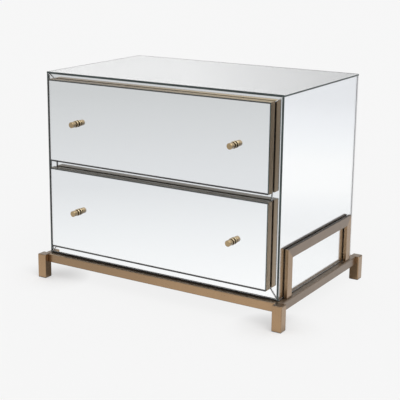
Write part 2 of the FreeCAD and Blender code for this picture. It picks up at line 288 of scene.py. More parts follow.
finishSockets = {
    "INPUT": {"Grain": "Vector", "Pale": "Color", "Deep": "Color", "Smooth": "Float", "Coarse": "Float"},
    "OUTPUT": {"Color": "Color", "Roughness": "Float", "Height": "Float"}}
evenly = (1, 1, 1)  # noise that isn't stretched


def addFinish(name):
    group = bpy.data.node_groups.new(name, "ShaderNodeTree")
    for way, sockets in finishSockets.items():
        for label, kind in sockets.items():
            group.interface.new_socket(label, in_out=way, socket_type=f"NodeSocket{kind}")
    given = addNode(group, "NodeGroupInput").outputs
    made = addNode(group, "NodeGroupOutput").inputs
    return group, given, made, addNode(group, "ShaderNodeTexCoord").outputs["Object"]


def giveFinish(group, given, made, colour, shine, shineSpan, height):
    roughness = mapped(group, shine, *shineSpan, given["Smooth"], given["Coarse"])
    for label, value in (("Color", colour), ("Roughness", roughness), ("Height", height)):
        feed(group, made[label], value)
    return group


brushing = {"lines": (1.0, 4.0), "patina": (9.0, 5.0, 0.4), "mottle": (60.0, 3.0), "lineShare": 0.35,
            "streakShare": 0.8, "shineShare": 0.5, "tones": (0.36, 0.64), "shine": (0.3, 0.7)}


def buildBrushedGroup():
    group, given, made, place = addFinish("brushedMetal")
    lines = stretchedNoise(group, place, given["Grain"], *brushing["lines"])
    patina = stretchedNoise(group, place, evenly, *brushing["patina"])
    mottle = stretchedNoise(group, place, evenly, *brushing["mottle"])
    streaks = weighted(group, lines, patina, brushing["lineShare"])
    tone = mapped(group, weighted(group, streaks, mottle, brushing["streakShare"]), *brushing["tones"])
    colour = blended(group, tone, given["Deep"], given["Pale"])
    shine = weighted(group, lines, mottle, brushing["shineShare"])
    return giveFinish(group, given, made, colour, shine, brushing["shine"], lines)


woodGrain = {"figure": (0.9, 3.0, 1.2), "streaks": (14.0, 3.0), "pores": (60.0, 1.0), "bands": 9.0,
             "bandShare": 0.35, "tones": (0.2, 0.8), "poreSpan": (0.62, 0.74), "poreTone": 0.35,
             "streakHeight": 0.5, "shine": (0.3, 0.7)}


def buildWoodGroup():
    group, given, made, place = addFinish("birchGrain")
    figure, streaks, pores = (stretchedNoise(group, place, given["Grain"], *woodGrain[part])
                              for part in ("figure", "streaks", "pores"))
    bands = combined(group, "PINGPONG", combined(group, "MULTIPLY", figure, woodGrain["bands"]), 1.0)
    tone = mapped(group, weighted(group, bands, streaks, woodGrain["bandShare"]), *woodGrain["tones"])
    wood = blended(group, tone, given["Deep"], given["Pale"])
    darkPores = mapped(group, pores, *woodGrain["poreSpan"])
    spots = combined(group, "MULTIPLY", darkPores, woodGrain["poreTone"])
    colour = blended(group, spots, wood, given["Deep"])
    raised = combined(group, "MULTIPLY", streaks, woodGrain["streakHeight"])
    height = combined(group, "SUBTRACT", raised, darkPores)
    return giveFinish(group, given, made, colour, streaks, woodGrain["shine"], height)


paintSkin = {"peel": (1.0, 2.0), "scuffs": (14.0, 6.0, 0.8), "tones": (0.4, 0.7), "shine": (0.35, 0.65)}


def buildSkinGroup():  # paint, nylon, tape, silver and glass: fine peel, soft scuffs
    group, given, made, place = addFinish("paintSkin")
    peel = stretchedNoise(group, place, given["Grain"], *paintSkin["peel"])
    scuffs = stretchedNoise(group, place, evenly, *paintSkin["scuffs"])
    colour = blended(group, mapped(group, scuffs, *paintSkin["tones"]), given["Deep"], given["Pale"])
    return giveFinish(group, given, made, colour, scuffs, paintSkin["shine"], peel)


paintedLightSources = {"normal": ("ShaderNodeNewGeometry", "Normal"), "place": ("ShaderNodeTexCoord", "Object")}


def surfaceMaterial(name, group, look):
    material = bpy.data.materials.new(name)
    material.use_nodes = True
    tree = material.node_tree
    shader = tree.nodes["Principled BSDF"]
    given = {key.capitalize(): look[key] for key in ("grain", "pale", "deep", "smooth", "coarse")}
    finish = addNode(tree, "ShaderNodeGroup", given, node_tree=group).outputs
    bump = addNode(tree, "ShaderNodeBump", {"Strength": look["bump"], "Distance": look["depth"],
                                            "Height": finish["Height"]})
    colour = finish["Color"]
    if "paintedLight" in look:  # painted light or shade: a second tone that comes in along the surface, by its own normal or by its place
        paintedLight = look["paintedLight"]
        kind, output = paintedLightSources[paintedLight["by"]]
        along = vectorStep(tree, "DOT_PRODUCT", addNode(tree, kind).outputs[output], paintedLight["towards"])
        colour = blended(tree, mapped(tree, along, *paintedLight["span"]), colour, paintedLight["tone"])
    sockets = {"Base Color": colour, "Roughness": finish["Roughness"], "Normal": bump.outputs["Normal"]}
    for key, value in {**sockets, **look.get("shader", {})}.items():
        feed(tree, shader.inputs[key], value)
    return material


def grained(look, axis, lengthwise, across):  # marks in a metre along the axis and across it
    return dict(look, grain=tuple(lengthwise if letter == axis else across for letter in "xyz"))


brushed, birch, painted = buildBrushedGroup(), buildWoodGroup(), buildSkinGroup()


# Bronze of the bars, the edging and the knobs, and the steel

metalMarks = {"brushed": (12, 1400), "turned": (2600, 60), "rolled": (30, 1600)}
bronzeLook = {"pale": (0.395, 0.25, 0.133), "deep": (0.335, 0.212, 0.114), "smooth": 0.24, "coarse": 0.34,
              "bump": 0.06, "depth": 0.3 * mm,
              "shader": {"Metallic": 1.0, "Coat Weight": 0.5, "Coat Roughness": 0.22}}
satinLook = dict(bronzeLook, smooth=0.42, coarse=0.52)
dullLook = dict(bronzeLook, smooth=0.46, coarse=0.56)
# painted shade: a darker tone for the faces that look sideways along the bars
shadedBrushedLook = dict(bronzeLook, pale=(0.27, 0.195, 0.135), deep=(0.23, 0.168, 0.117), smooth=0.38, coarse=0.48,
                   shader={**bronzeLook["shader"], "Anisotropic": 0.85, "Anisotropic Rotation": 0.25})
# painted shade: the front faces of the bars grow darker towards the left
darkerLeft = {"by": "place", "towards": (-1, 0, 0), "span": (-0.15, 0.2), "tone": (0.29, 0.185, 0.1)}
barLooks = {  # tone and brushing direction of each kind of face, the tones painted as light and shade by the way each face points
    "frontX": (dict(bronzeLook, paintedLight=darkerLeft), "x"),
    "frontZ": (bronzeLook, "z"),
    "sideY": (shadedBrushedLook, "y"),
    "sideZ": (dict(bronzeLook, pale=(0.335, 0.218, 0.122), deep=(0.285, 0.185, 0.104)), "z"),
    "narrowZ": (dict(bronzeLook, pale=(0.285, 0.18, 0.094), deep=(0.24, 0.152, 0.08)), "z"),
    "crownX": (dict(satinLook, pale=(0.27, 0.2, 0.137), deep=(0.23, 0.17, 0.117)), "x"),
    "ledgeX": (dict(dullLook, pale=(0.5, 0.385, 0.275), deep=(0.43, 0.33, 0.235)), "x"),
    "ledgeY": (dict(dullLook, pale=(0.27, 0.205, 0.145), deep=(0.23, 0.175, 0.125)), "y"),
    "lintelY": (dict(satinLook, pale=(0.09, 0.069, 0.051), deep=(0.076, 0.058, 0.043)), "y")}
trimLook = dict(bronzeLook, pale=(0.288, 0.208, 0.125), deep=(0.242, 0.172, 0.102), smooth=0.32, coarse=0.42,
                shader={"Metallic": 1.0, "Coat Weight": 0.3, "Coat Roughness": 0.3})
# painted light: the level strips take a lighter tone than the upright ones
levelLook = dict(trimLook, pale=(0.38, 0.285, 0.175), deep=(0.32, 0.235, 0.145))
# painted highlight: the edging grows lighter towards the right
brighterRight = {"by": "place", "towards": (1, 0, 0), "span": (-0.18, 0.33), "tone": (0.7, 0.54, 0.31)}
trimLooks = {  # the highlight is the upper drawer's top edge, painted lighter towards the right, and the ledge is the edges painted darker as shade
    "x": (levelLook, "x"),
    "z": (trimLook, "z"),
    "paintedHighlight": (dict(levelLook, paintedLight=brighterRight), "x"),
    "shadedLedge": (dict(trimLook, pale=(0.165, 0.135, 0.092), deep=(0.14, 0.112, 0.076)), "x")}
knobLook = dict(bronzeLook, pale=(0.47, 0.345, 0.19), deep=(0.36, 0.26, 0.138), smooth=0.1, coarse=0.18)
darkUnder = {"by": "normal", "towards": (0, 0, -1), "span": (-0.8, 0.35), "tone": (0.14, 0.1, 0.054)}
shadedUnderLook = dict(knobLook, paintedLight=darkUnder)  # undersides are painted dark as shade
knobLooks = {  # the end of the head, the groove painted dark as shade, the collar painted bright as a highlight, and the head's flank painted lighter as a highlight
    "turned": knobLook,
    "groove": dict(knobLook, pale=(0.13, 0.095, 0.055), deep=(0.1, 0.072, 0.042), smooth=0.3, coarse=0.4),
    "collar": dict(shadedUnderLook, pale=(0.85, 0.68, 0.43), deep=(0.72, 0.56, 0.34), smooth=0.05, coarse=0.12),
    "flank": dict(shadedUnderLook, pale=(0.62, 0.46, 0.26), deep=(0.5, 0.365, 0.2))}
zincLook = {"pale": (0.64, 0.65, 0.67), "deep": (0.56, 0.57, 0.595), "smooth": 0.26, "coarse": 0.36,
            "bump": 0.05, "depth": 0.3 * mm, "shader": {"Metallic": 1.0}}


def metalMaterial(name, look, axis, marks="brushed"):
    return surfaceMaterial(name, brushed, grained(look, axis, *metalMarks[marks]))


bronze = {face: metalMaterial(f"{face}Bronze", *look) for face, look in barLooks.items()}
trimBronze = {face: metalMaterial(f"edgingBronze{face.capitalize()}", *look)
              for face, look in trimLooks.items()}
knobBrass = {part: metalMaterial(f"{part}Bronze", look, "y", "turned") for part, look in knobLooks.items()}
zinc = metalMaterial("zincSteel", zincLook, "y", "rolled")


# Paint, nylon, birch, and what mirrors are made of

paintLook = {"grain": (900, 900, 900), "smooth": 0.38, "coarse": 0.52, "bump": 0.08, "depth": 0.4 * mm}
edgeLook = {"grain": (300, 300, 300), "bump": 0.05, "depth": 0.2 * mm}
clearLook = {"grain": (8, 8, 8), "bump": 0.0, "depth": 0.1 * mm}
birchLook = {"pale": (0.62, 0.47, 0.30), "deep": (0.46, 0.31, 0.175), "smooth": 0.34, "coarse": 0.5,
             "bump": 0.12, "depth": 0.5 * mm, "shader": {"Coat Weight": 0.15, "Coat Roughness": 0.25}}
woodMarks = {"birch": (1.2, 26), "ply": (0.9, 12)}


def skinMaterial(name, look, pale, deep, **others):
    return surfaceMaterial(name, painted, dict(look, pale=pale, deep=deep, **others))


def woodMaterial(name, look, axis, marks):
    return surfaceMaterial(name, birch, grained(look, axis, *woodMarks[marks]))


blackPaint = skinMaterial("blackPaint", paintLook, (0.022, 0.022, 0.023), (0.011, 0.011, 0.012))
brownPaint = skinMaterial("brownPaint", paintLook, (0.075, 0.055, 0.04), (0.05, 0.037, 0.027))
nylon = skinMaterial("blackNylon", {"grain": (1500, 1500, 1500), "bump": 0.15, "depth": 0.3 * mm},
                     (0.03, 0.03, 0.031), (0.016, 0.016, 0.017), smooth=0.45, coarse=0.6)
plyLook = dict(birchLook, pale=(0.66, 0.51, 0.34), deep=(0.52, 0.37, 0.22))
birchWood = {axis: woodMaterial(f"birch{axis.upper()}", birchLook, axis, "birch") for axis in "xy"}
plywood = woodMaterial("birchPly", plyLook, "x", "ply")
mirrorFinishes = {  # the joints and ends of the glass are painted pale as light, and the rim is where the silver is ground off
    "glass": skinMaterial("mirrorGlass", clearLook, (0.985, 0.995, 0.992), (0.99, 0.998, 0.996), smooth=0.0,
                          coarse=0.006, shader={"Transmission Weight": 1.0, "IOR": 1.5}),
    "silver": skinMaterial("mirrorSilver", clearLook, (0.98, 0.984, 0.99), (0.975, 0.98, 0.987), smooth=0.012,
                           coarse=0.02, shader={"Metallic": 1.0}),
    "edge": skinMaterial("glassEdge", edgeLook, (0.055, 0.075, 0.072), (0.026, 0.036, 0.035), smooth=0.1,
                         coarse=0.22),
    "rim": skinMaterial("sealedRim", edgeLook, (0.085, 0.074, 0.066), (0.05, 0.044, 0.04), smooth=0.3,
                        coarse=0.45),
    "paintedLightEdge": skinMaterial("panelEdge", edgeLook, (0.78, 0.78, 0.78), (0.7, 0.7, 0.7), smooth=0.4, coarse=0.55)}
print("materials made")


# Mirrors: a clear slab with silver on its back, dark ground edges, and joints painted pale as light

glassCut = {"arris": 0.6 * mm, "backing": 0.15 * mm, "sealedEdge": 2.2 * mm, "sealedHead": 3.6 * mm,
            "hairline": 0.05 * mm, "silverShift": 1.4 * mm, "jointRoom": 1 * mm, "silverShare": 0.9}


def makeMirror(name, corners, outward, thickness, sealed=False, joint=None):
    # A sealed mirror's silver stops short of its edges, and joint is a z span where another strip meets it
    outward = Vector(outward)
    seat = [Vector(corner) + outward * glassCut["backing"] for corner in corners]
    rise = outward * (thickness - glassCut["backing"])
    panel = addPlate(name, seat, rise)
    faceLevel = (seat[0] + rise).dot(outward)
    bevelEdges(panel, lambda edge: all(abs(v.co.dot(outward) - faceLevel) < touching for v in edge.verts),
               glassCut["arris"], 1)
    if sealed:
        insetFaces(panel, lambda face: face.normal.dot(outward) < -squarely, glassCut["sealedEdge"])
        tall = max(corner.z for corner in seat) - min(corner.z for corner in seat)
        shrink = (tall - 2 * glassCut["sealedHead"]) / (tall - 2 * glassCut["sealedEdge"])
        bpy.ops.transform.resize(value=(1, 1, shrink))
        bpy.ops.transform.translate(value=(glassCut["silverShift"], 0, 0))
        bpy.ops.object.mode_set(mode="OBJECT")
    backArea = max(face.area for face in panel.data.polygons if face.normal.dot(outward) < -squarely)

    def finishOf(face):
        facing = face.normal.dot(outward)
        heights = [panel.data.vertices[index].co.z for index in face.vertices]
        jointed = (joint and abs(facing) < nearly and min(heights) > joint[0] - glassCut["jointRoom"]
                   and max(heights) < joint[1] + glassCut["jointRoom"])
        mitred = min(abs(face.normal.x), abs(face.normal.z)) > partly
        backEnd = face.normal.y > squarely and abs(outward.x) > mainly
        if facing > squarely:
            return "glass"
        # joints, mitres and back ends are painted pale as light
        if jointed or mitred or backEnd:
            return "paintedLightEdge"
        if facing < -squarely:
            return "silver" if face.area >= glassCut["silverShare"] * backArea else "rim"
        return "edge"

    paintFaces(panel, mirrorFinishes, finishOf)
    return panel


def flatCorners(node, outward):  # the four back corners of a rectangular panel, and its thickness
    low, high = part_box(node)
    depth = next(axis for axis in range(3) if outward[axis])
    across = [axis for axis in range(3) if axis != depth]
    corners = []
    for ends in ((low, low), (high, low), (high, high), (low, high)):
        corner = Vector(low if outward[depth] > 0 else high)
        for axis, end in zip(across, ends):
            corner[axis] = end[axis]
        corners.append(corner)
    return corners, high[depth] - low[depth]


def flatMirror(name, node, outward, sealed=False, copies=None, gap=0):
    corners, thickness = flatCorners(node, outward)
    for corner in corners:  # the gap leaves a hairline at both ends in x
        corner.x -= math.copysign(gap, corner.x)
    panel = makeMirror(name, corners, outward, thickness, sealed)
    finishCopies(panel, "mirror", node, copies or {})


def mitredCorners(outerLow, outerHigh, innerLow, innerHigh, depth):
    # Outlines of four strips round a rectangle, from the x and z of its corners
    def ring(low, high):
        return [Vector((x, depth, z)) for x, z in (low, (high[0], low[1]), high, (low[0], high[1]))]

    outer, inner = ring(outerLow, outerHigh), ring(innerLow, innerHigh)
    outlines = {}
    for start, name in enumerate(("bottom", "right", "top", "left")):
        end = (start + 1) % 4
        outlines[name] = [outer[start], outer[end], inner[end], inner[start]]
    return outlines


flatMirror("topMirror", "top_mirror", (0, 0, 1))
for side, sign in sides.items():
    flatMirror(f"{side}SideMirror", f"{side}_side_mirror", (sign, 0, 0))
flatMirror("middleStrip", "front_strip_middle", (0, -1, 0), gap=glassCut["hairline"])
leftLow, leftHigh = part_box("front_strip_left")
rightLow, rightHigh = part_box("front_strip_right")
strips = mitredCorners((leftLow.x, leftLow.z), (rightHigh.x, rightHigh.z),
                       (leftHigh.x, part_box("front_strip_bottom")[1].z),
                       (rightLow.x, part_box("front_strip_top")[0].z), leftHigh.y)
joint = [corner.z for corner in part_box("front_strip_middle")]
for side, corners in strips.items():
    if side in sides:  # two more corners, where the middle strip meets it
        for level in joint if side == "left" else joint[::-1]:
            corners.insert(-1, Vector((corners[-1].x, corners[-1].y, level)))
    strip = makeMirror(f"{side}Strip", corners, (0, -1, 0), leftHigh.y - leftLow.y, joint=joint)
    finishPiece(strip, "mirror", f"front_strip_{side}")
flatMirror("upperDrawerMirror", "upper_front_mirror", (0, -1, 0), sealed=True,
           copies={"lowerDrawerMirror": "lower_front_mirror"})
print("mirrors made")


# Screws: pan heads with a cross recess, in shares of the screw's own radius and length

screwShape = {"around": 24, "smoothing": 35, "shank": ((0.3, 1.0), (1.0, 0.93), (1.0, 0.0)),
              "head": ((1.0, 0.0), (1.0, 0.45), (0.9, 0.8), (0.6, 0.9475), (0.2, 1.0)),
              "crossWidth": 0.22, "crossReach": 0.62, "crossDepth": 0.6, "crossTop": 1.5}


def makeScrew(centre, out, headRadius, headHeight, shankRadius, shankLength):
    # centre is under the head, the head rises along out and the shank runs the other way
    out = Vector(out)
    profile = [(shankRadius * radius, -shankLength * reach) for radius, reach in screwShape["shank"]]
    profile += [(headRadius * radius, headHeight * reach) for radius, reach in screwShape["head"]]
    screw = turnPiece("screw", centre, out, profile, screwShape["around"])
    width, reach = headRadius * screwShape["crossWidth"], headRadius * screwShape["crossReach"]
    floor = headHeight - headHeight * screwShape["crossDepth"]
    turn = out.to_track_quat("Z", "Y").to_matrix().to_4x4()
    for x, y in ((reach, width), (width, reach)):
        slot = addBlock("recess", (-x, -y, floor), (x, y, headHeight * screwShape["crossTop"]))
        slot.data.transform(Matrix.Translation(Vector(centre)) @ turn)
        cutOut(screw, slot)
    activate(screw)
    bpy.ops.object.shade_smooth_by_angle(angle=math.radians(screwShape["smoothing"]))
    paint(screw, zinc)
    return screw


def makeScrews(name, places, out, size):
    return repeatPiece(name, makeScrew(places[0], out, **size), places)


# Case of painted boards

boardCut = {"edge": 0.6 * mm, "backEdge": 0.8 * mm}
caseBoards = {"topBoard": "case_top_board", "bottomBoard": "case_bottom_board", "leftBoard": "case_left_side",
              "rightBoard": "case_right_side", "dividerBoard": "drawer_divider"}
backScrew = {"headRadius": 3.6 * mm, "headHeight": 2.2 * mm, "shankRadius": 1.7 * mm, "shankLength": 14 * mm}
backScrewPlaces = {"inset": 9 * mm, "across": 5, "up": 4}

for name, node in caseBoards.items():
    board = addBlock(name, *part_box(node))
    roundEdges(board, boardCut["edge"])
    paint(board, blackPaint)
    finishPiece(board, "black_board", node)
backLow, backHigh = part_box("case_back_panel")
backPanel = addBlock("backPanel", backLow + Vector((0, glassCut["hairline"], 0)), backHigh)
roundEdges(backPanel, boardCut["backEdge"])
# its ends are painted pale as light
paintFaces(backPanel, {"board": blackPaint, "end": mirrorFinishes["paintedLightEdge"]},
           lambda face: "end" if abs(face.normal.x) > partly else "board")
finishPiece(backPanel, "black_board", "case_back_panel")


def alongEdge(low, high, count):  # evenly spaced from one end screw to the other
    inset = backScrewPlaces["inset"]
    return [low + inset + (high - low - 2 * inset) * step / (count - 1) for step in range(count)]


acrossBack = alongEdge(backLow.x, backHigh.x, backScrewPlaces["across"])
upBack = alongEdge(backLow.z, backHigh.z, backScrewPlaces["up"])
backPlaces = [(x, backHigh.y, z) for x in acrossBack for z in upBack
              if x in (acrossBack[0], acrossBack[-1]) or z in (upBack[0], upBack[-1])]
screws = makeScrews("backScrews", backPlaces, (0, 1, 0), backScrew)
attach(screws, "case")
print("case made")


# Base of square tube, with a closed top on each leg

tubeShape = {"corner": 2.8 * mm, "segments": 5, "wall": 2 * mm, "cutEnd": 0.6 * mm}
tabShape = {"size": 50 * mm, "thickness": 3 * mm, "hole": 2.55 * mm, "holeAround": 24, "drill": 20 * mm,
            "edge": 0.5 * mm}
baseScrew = {"headRadius": 4.5 * mm, "headHeight": 3 * mm, "shankRadius": 2.2 * mm, "shankLength": 22 * mm}
glideShape = {"inset": 1 * mm, "step": 1.2 * mm, "plug": 12 * mm, "edge": 0.5 * mm}


def paintTube(tube, front, side, crown):
    # Front and back, side, and top faces each take their own tone of bronze, painted as light and shade
    def toneOf(face):
        return crown if face.normal.z > mainly else side if abs(face.normal.x) > mainly else front

    paintFaces(tube, {look: bronze[look] for look in (front, side, crown)}, toneOf)


def makeLeg(name, node):
    low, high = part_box(node)
    leg = addBlock(name, low, high)
    bevelEdges(leg, lambda edge: max(v.co.z for v in edge.verts) > low.z + touching,  # all but the cut foot
               tubeShape["corner"], tubeShape["segments"])
    roundEdges(leg, tubeShape["cutEnd"])
    insetFaces(leg, lambda face: face.normal.z < -squarely, tubeShape["wall"])  # the open foot
    extrudeBy((0, 0, high.z - low.z - tubeShape["wall"]))
    bpy.ops.object.mode_set(mode="OBJECT")
    paintTube(leg, "frontZ", "sideZ", "crownX")
    return leg


legs = {f"{end}{side.capitalize()}Leg": f"{end}_{side}_leg" for end in ("front", "rear") for side in sides}
firstLeg, *otherLegs = legs
leg = makeLeg(firstLeg, legs[firstLeg])
finishCopies(leg, "bronze", legs[firstLeg], {name: legs[name] for name in otherLegs})

sideRailLow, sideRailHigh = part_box("base_right_rail")
railWidth = sideRailHigh.x - sideRailLow.x
railRise = Vector((0, 0, sideRailHigh.z - sideRailLow.z))
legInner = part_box("front_right_leg")[0].x
railFace = {"front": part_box("base_front_rail")[0].y, "rear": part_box("base_rear_rail")[1].y}
railInner = {"front": railFace["front"] + railWidth, "rear": railFace["rear"] - railWidth}
legFace = {"front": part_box("front_right_leg")[1].y, "rear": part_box("rear_right_leg")[0].y}


def makeRail(name, outline):  # mitred into its neighbours, from the x and y of its corners
    rail = addPlate(name, [Vector((x, y, sideRailLow.z)) for x, y in outline], railRise)
    roundEdges(rail, tubeShape["corner"], tubeShape["segments"])
    return rail


def makeTab(end, sign):
    # A flat tab in the inner corner of the rails, with its screw hole
    half = tabShape["size"] / 2
    inwards = half if end == "front" else -half
    middle = Vector((sign * (sideRailLow.x - half), railInner[end] + inwards, sideRailHigh.z))
    reach = Vector((half, half, 0))
    drop = Vector((0, 0, tabShape["thickness"]))
    tab = addBlock("screwTab", middle - reach - drop, middle + reach)
    bpy.ops.mesh.primitive_cylinder_add(vertices=tabShape["holeAround"], radius=tabShape["hole"],
                                        depth=tabShape["drill"], location=middle)
    cutOut(tab, namePiece("drill"))
    roundEdges(tab, tabShape["edge"])
    return tab, middle - drop


underTabs = []
for end, face in railFace.items():
    outline = [(-legInner, face), (legInner, face), (legInner, legFace[end]), (sideRailLow.x, railInner[end]),
               (-sideRailLow.x, railInner[end]), (-legInner, legFace[end])]
    parts = [makeRail(f"{end}Rail", outline)]
    for sign in sides.values():
        tab, under = makeTab(end, sign)
        parts.append(tab)
        underTabs.append(under)
    rail = joinPieces(f"{end}Rail", parts)
    paintTube(rail, "frontX", "frontX", "ledgeX")
    finishPiece(rail, "bronze", f"base_{end}_rail")
finishPiece(makeScrews("baseScrews", underTabs, (0, 0, -1), baseScrew), "steel", "base_screws")

for side, sign in sides.items():
    outline = [(sideRailHigh.x, legFace["front"]), (sideRailHigh.x, legFace["rear"]),
               (legInner, legFace["rear"]), (sideRailLow.x, railInner["rear"]),
               (sideRailLow.x, railInner["front"]), (legInner, legFace["front"])]
    rail = makeRail(f"{side}Rail", [(sign * x, y) for x, y in outline])
    paintTube(rail, "sideY", "sideY", "ledgeY")
    finishPiece(rail, "bronze", f"base_{side}_rail")


def makeGlide(low, high):  # a nylon pad under the leg, with the plug that grips the tube
    inset = Vector((glideShape["inset"], glideShape["inset"], 0))
    glide = addBlock("glide", Vector((low.x, low.y, 0)) + inset, Vector((high.x, high.y, low.z)) - inset)
    insetFaces(glide, lambda face: face.normal.z > squarely, glideShape["step"])
    extrudeBy((0, 0, glideShape["plug"]))
    bpy.ops.object.mode_set(mode="OBJECT")
    roundEdges(glide, glideShape["edge"])
    paint(glide, nylon)
    return glide


legPlaces = [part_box(node)[0] for node in legs.values()]
glides = repeatPiece("legGlides", makeGlide(*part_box(legs[firstLeg])), legPlaces)
finishPiece(glides, "glide", "leg_glides")
print("base made")


# Side brackets of flat bar, welded into one arch and standing just clear of the glass

bracketShape = {"bar": 26 * mm, "corner": 0.9 * mm, "segments": 3, "clear": 0.8 * mm}
# The bracket's faces take tones of bronze painted as light and shade, and its back is painted dark as shade
bracketFinishes = {"sideY": bronze["sideY"], "sideZ": bronze["sideZ"], "narrowZ": bronze["narrowZ"],
                   "back": brownPaint, "lintelY": bronze["lintelY"]}


def makeBracket(side, sign):
    node = f"{side}_side_bracket"
    low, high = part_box(node)
    bar = bracketShape["bar"]
    backX = (low.x if sign > 0 else high.x) + sign * bracketShape["clear"]
    thickness = high.x - low.x - bracketShape["clear"]
    outline = [(low.y, low.z), (low.y + bar, low.z), (low.y + bar, high.z - bar),
               (high.y - bar, high.z - bar), (high.y - bar, low.z), (high.y, low.z), (high.y, high.z),
               (low.y, high.z)]
    arch = addPlate(f"{side}Bracket", [Vector((backX, y, z)) for y, z in outline],
                    Vector((sign * thickness, 0, 0)))
    for corner, step in ((low.y, bar), (high.y, -bar)):  # weld lines, where the brushing turns
        for x in (backX, backX + sign * thickness):
            ends = [Vector((x, corner, high.z)), Vector((x, corner + step, high.z - bar))]
            pick(arch, "VERT", lambda vertex: any((vertex.co - end).length < touching for end in ends))
            bpy.ops.mesh.vert_connect()
    bpy.ops.object.mode_set(mode="OBJECT")
    roundEdges(arch, bracketShape["corner"], bracketShape["segments"])

    def finishOf(face):
        if face.normal.x * sign < -nearly:  # the back next to the glass, painted dark brown as shade
            return "back"
        if face.normal.z > nearly:
            return "lintelY"
        if face.center.z < high.z - bar and abs(face.normal.z) < mainly:
            return "narrowZ" if abs(face.normal.y) > mainly else "sideZ"
        return "sideY"

    paintFaces(arch, bracketFinishes, finishOf)
    finishPiece(arch, "bronze", node)


for side, sign in sides.items():
    makeBracket(side, sign)
print("brackets made")


# Drawer fronts: board, bronze edging mitred at the corners, knobs

edgingShape = {"width": 2.5 * mm, "edge": 0.35 * mm}
edgingSides = {"bottom": "shadedLedge", "right": "z", "top": "paintedHighlight", "left": "z"}
knobShape = {"clear": 0.1 * mm, "edge": 0.25 * mm, "edgeAngle": 30, "around": 64, "neckRadius": 5.6 * mm,
             "headStart": 8.4 * mm, "endTurn": 0.5, "profile": [  # radius and reach in millimetres
                 (8.3, 0.0), (9.0, 0.5), (9.2, 1.2), (9.2, 3.4), (9.0, 4.1), (8.4, 4.5), (5.3, 4.5),
                 (5.0, 4.8), (5.0, 8.2), (5.3, 8.5), (7.2, 8.5), (8.0, 9.3), (8.0, 21.6), (7.2, 22.5),
                 (6.6, 22.5), (6.3, 22.2), (0.6, 22.1)]}
knobScrew = {"headRadius": 4 * mm, "headHeight": 2.6 * mm, "shankRadius": 1.9 * mm, "shankLength": 47 * mm}


def makeEdging(name, node):
    low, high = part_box(node)
    width = edgingShape["width"]
    outlines = mitredCorners((low.x, low.z), (high.x, high.z), (low.x + width, low.z + width),
                             (high.x - width, high.z - width), high.y)
    strips = []
    for side, corners in outlines.items():
        strip = addPlate(f"{side}Edging", corners, Vector((0, low.y - high.y, 0)))
        roundEdges(strip, edgingShape["edge"])
        paint(strip, trimBronze[edgingSides[side]])
        strips.append(strip)
    return joinPieces(name, strips)


def makeKnob(name, node):
    low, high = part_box(node)
    centre = middleOf(node)
    centre.y = high.y - knobShape["clear"]
    farthest = high.y - low.y - knobShape["clear"]
    profile = [(radius * mm, min(reach * mm, farthest)) for radius, reach in knobShape["profile"]]
    knob = turnPiece(name, centre, (0, -1, 0), profile, knobShape["around"])
    roundEdges(knob, knobShape["edge"], angle=knobShape["edgeAngle"])

    def finishOf(face):
        if centre.y - face.center.y < knobShape["headStart"]:
            radius = math.hypot(face.center.x - centre.x, face.center.z - centre.z)
            return "groove" if radius < knobShape["neckRadius"] else "collar"
        return "flank" if face.normal.y > -knobShape["endTurn"] else "turned"

    paintFaces(knob, knobBrass, finishOf)
    return knob


board = addBlock("upperFrontBoard", *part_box("upper_front_board"))
roundEdges(board, boardCut["edge"])
paint(board, brownPaint)
finishCopies(board, "black_board", "upper_front_board", {"lowerFrontBoard": "lower_front_board"})
edging = makeEdging("upperEdging", "upper_front_trim")
finishCopies(edging, "bronze_trim", "upper_front_trim", {"lowerEdging": "lower_front_trim"})
lowerEdging = bpy.data.objects["lowerEdging"]  # its top edge has no painted highlight, and its top face is painted darker as shade
edgingSlots = lowerEdging.data.materials
edgingSlots[edgingSlots.find(trimBronze["paintedHighlight"].name)] = trimBronze["x"]
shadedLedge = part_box("lower_front_trim")[1].z - edgingShape["width"] / 2
for face in lowerEdging.data.polygons:
    if face.normal.z > mainly and face.center.z > shadedLedge:
        face.material_index = edgingSlots.find(trimBronze["shadedLedge"].name)
knob = makeKnob("upperLeftKnob", "upper_left_knob")
finishCopies(knob, "knob_brass", "upper_left_knob", {
    "upperRightKnob": "upper_right_knob", "lowerLeftKnob": "lower_left_knob",
    "lowerRightKnob": "lower_right_knob"})
seats = [middleOf(f"upper_{side}_knob") for side in sides]
for seat in seats:
    seat.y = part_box("upper_box_front")[1].y
screws = makeScrews("upperKnobScrews", seats, (0, 1, 0), knobScrew)
finishCopies(screws, "steel", "upper_knob_screws", {"lowerKnobScrews": "lower_knob_screws"})
print("drawer fronts made")


# Drawer boxes of birch

boxCut = {"top": 2.5 * mm, "topSegments": 4, "edge": 0.5 * mm, "panelGap": 0.1 * mm}
boxBoards = {"front": "x", "back": "x", "left": "y", "right": "y"}  # and the way that each one's grain runs


def makeBoxBoard(part, axis):
    node = f"upper_box_{part}"
    low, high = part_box(node)
    board = addBlock(f"upperBox{part.capitalize()}", low, high)
    along = "xy".index(axis)

    def isLongTopEdge(edge):
        first, second = (v.co for v in edge.verts)
        return min(first.z, second.z) > high.z - touching and abs(first[along] - second[along]) > touching

    bevelEdges(board, isLongTopEdge, boxCut["top"], boxCut["topSegments"])
    roundEdges(board, boxCut["edge"])
    paint(board, birchWood[axis])
    finishCopies(board, "birch", node, {f"lowerBox{part.capitalize()}": f"lower_box_{part}"})


